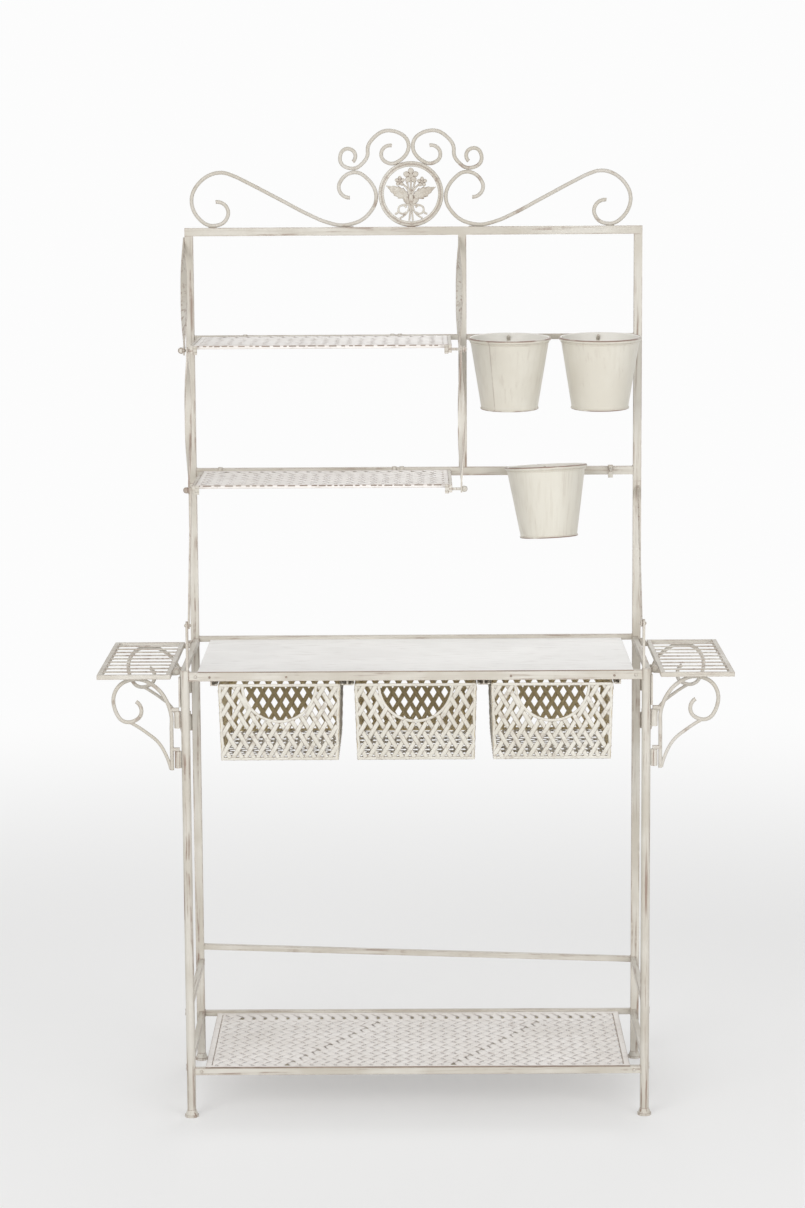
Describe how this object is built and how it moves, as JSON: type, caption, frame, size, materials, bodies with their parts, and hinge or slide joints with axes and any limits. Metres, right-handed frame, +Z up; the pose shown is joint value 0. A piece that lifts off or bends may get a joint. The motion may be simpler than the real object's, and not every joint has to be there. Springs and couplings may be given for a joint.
{
  "type": "plant shelf",
  "caption": "Tall iron plant bench with a scrolled crest, hanging shelves, sliding lattice baskets, hanging pots, a low shelf and lifting side flaps on scroll brackets.",
  "frame": {"origin": "on the floor, under the middle of the whole outline", "axes": "+Z up, front towards -Y, +X to the viewer's right"},
  "size_m": [1.126, 0.3975, 1.7651],
  "materials": {
    "antique_cream": "antique cream paint over iron, rubbed brown on edges and along the tubes",
    "basket_cream": "antique cream paint on stamped lattice sheet",
    "shelf_cream": "antique cream paint on embossed sheet",
    "table_white": "smooth off-white paint on plain sheet",
    "pot_cream": "satin warm cream paint on thin sheet, rubbed brown at the rim and base"
  },
  "bodies": {
    "frame": {"rear_leg_left": "antique_cream", "rear_leg_right": "antique_cream", "upper_post_left": "antique_cream", "upper_post_right": "antique_cream", "mid_post": "antique_cream", "top_rail": "antique_cream", "upper_cross_rail": "antique_cream", "lower_cross_rail": "antique_cream", "rear_table_rail": "antique_cream", "rear_guard_rail": "antique_cream", "rear_lower_rail": "antique_cream", "front_leg_left": "antique_cream", "front_leg_right": "antique_cream", "table_side_rails": "antique_cream", "guard_side_rails": "antique_cream", "lower_side_rails": "antique_cream", "table_front_rail": "antique_cream", "lower_front_rail": "antique_cream", "feet": "antique_cream", "leg_tabs": "antique_cream", "frame_rivets": "antique_cream", "brace_left": "antique_cream", "brace_right": "antique_cream", "shelf_arm_left": "antique_cream", "shelf_arm_mid": "antique_cream", "upper_shelf_sheet": "shelf_cream", "middle_shelf_sheet": "shelf_cream", "shelf_side_bars": "antique_cream", "ball_bolts": "antique_cream", "wing_nuts": "antique_cream", "table_sheet": "table_white", "lower_shelf_sheet": "shelf_cream", "lower_shelf_strips": "antique_cream", "basket_runners": "antique_cream", "pot_hooks": "antique_cream", "flap_hinge_pins": "antique_cream", "hinge_barrels": "antique_cream", "crest_scroll_left": "antique_cream", "crest_scroll_right": "antique_cream", "crest_top_scroll_left": "antique_cream", "crest_top_scroll_right": "antique_cream", "crest_ring": "antique_cream", "crest_bouquet": "antique_cream"},
    "flap_left": {"flap_left_frame": "antique_cream", "flap_left_slats": "antique_cream"},
    "flap_right": {"flap_right_frame": "antique_cream", "flap_right_slats": "antique_cream"},
    "bracket_front_left": {"bracket_front_left": "antique_cream"},
    "bracket_front_right": {"bracket_front_right": "antique_cream"},
    "bracket_rear_left": {"bracket_rear_left": "antique_cream"},
    "bracket_rear_right": {"bracket_rear_right": "antique_cream"},
    "basket_left": {"basket_left_front": "basket_cream", "basket_left_walls": "basket_cream"},
    "basket_middle": {"basket_middle_front": "basket_cream", "basket_middle_walls": "basket_cream"},
    "basket_right": {"basket_right_front": "basket_cream", "basket_right_walls": "basket_cream"},
    "pot_upper_left": {"pot_upper_left": "pot_cream"},
    "pot_upper_right": {"pot_upper_right": "pot_cream"},
    "pot_lower": {"pot_lower": "pot_cream"}
  },
  "joints": [
    {"name": "flap_left_lift", "type": "hinge", "parent": "frame", "child": "flap_left", "pos_m": [-0.4245, 0, 0.813], "axis": [0, 1, 0], "range_deg": [0, 90]},
    {"name": "flap_right_lift", "type": "hinge", "parent": "frame", "child": "flap_right", "pos_m": [0.4245, 0, 0.813], "axis": [0, -1, 0], "range_deg": [0, 90]},
    {"name": "bracket_front_left_swing", "type": "hinge", "parent": "frame", "child": "bracket_front_left", "pos_m": [-0.4232, -0.17375, 0.72], "axis": [0, 0, -1], "range_deg": [0, 90]},
    {"name": "bracket_front_right_swing", "type": "hinge", "parent": "frame", "child": "bracket_front_right", "pos_m": [0.4232, -0.17375, 0.72], "axis": [0, 0, 1], "range_deg": [0, 90]},
    {"name": "bracket_rear_left_swing", "type": "hinge", "parent": "frame", "child": "bracket_rear_left", "pos_m": [-0.4287, 0.18625, 0.72], "axis": [0, 0, 1], "range_deg": [0, 90]},
    {"name": "bracket_rear_right_swing", "type": "hinge", "parent": "frame", "child": "bracket_rear_right", "pos_m": [0.4287, 0.18625, 0.72], "axis": [0, 0, -1], "range_deg": [0, 90]},
    {"name": "basket_left_pull", "type": "slide", "parent": "frame", "child": "basket_left", "axis": [0, -1, 0], "range_m": [0, 0.22]},
    {"name": "basket_middle_pull", "type": "slide", "parent": "frame", "child": "basket_middle", "axis": [0, -1, 0], "range_m": [0, 0.22]},
    {"name": "basket_right_pull", "type": "slide", "parent": "frame", "child": "basket_right", "axis": [0, -1, 0], "range_m": [0, 0.22]},
    {"name": "pot_upper_left_lift_off", "type": "slide", "parent": "frame", "child": "pot_upper_left", "axis": [0, -0.8192, 0.5736], "range_m": [0, 0.06]},
    {"name": "pot_upper_right_lift_off", "type": "slide", "parent": "frame", "child": "pot_upper_right", "axis": [0, -0.8192, 0.5736], "range_m": [0, 0.06]},
    {"name": "pot_lower_lift_off", "type": "slide", "parent": "frame", "child": "pot_lower", "axis": [0, -0.8192, 0.5736], "range_m": [0, 0.06]}
  ]
}
